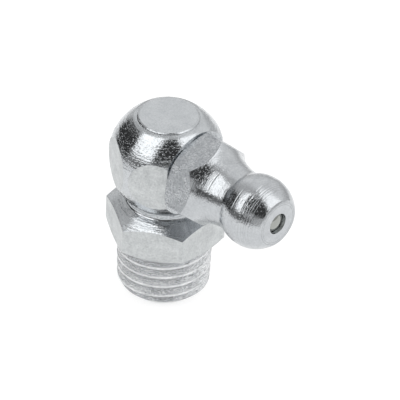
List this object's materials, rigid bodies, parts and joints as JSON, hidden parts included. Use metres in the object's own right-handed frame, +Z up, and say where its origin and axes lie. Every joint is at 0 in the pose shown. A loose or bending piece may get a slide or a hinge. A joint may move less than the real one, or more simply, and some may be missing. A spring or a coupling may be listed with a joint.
{
  "type": "grease nipple",
  "caption": "Right-angled hydraulic grease nipple: taper-threaded stud, hexagon and ball body, with a pressed-in coupling head closed by a spring-loaded check ball.",
  "frame": {"origin": "on the stud's axis, in the plane of the hexagon's underside", "axes": "+Z up the stud's axis, away from the threaded hole; +X along the coupling head's axis, the way that its mouth points"},
  "size_m": [0.0175, 0.0104, 0.0178],
  "materials": {
    "zinc_plated_steel": "turned, bright zinc plated",
    "bearing_steel": "ground and polished",
    "spring_steel": "drawn wire"
  },
  "bodies": {
    "fitting": {"body": "zinc_plated_steel", "coupling_head": "zinc_plated_steel", "valve_spring": "spring_steel"},
    "check_ball": {"check_ball": "bearing_steel"}
  },
  "joints": [
    {"name": "check_ball_slide", "type": "slide", "parent": "fitting", "child": "check_ball", "axis": [-1, 0, 0], "range_m": [0, 0.0009], "stiffness_N_per_m": 300, "springref_m": -0.003, "deforming": ["valve_spring"]}
  ]
}
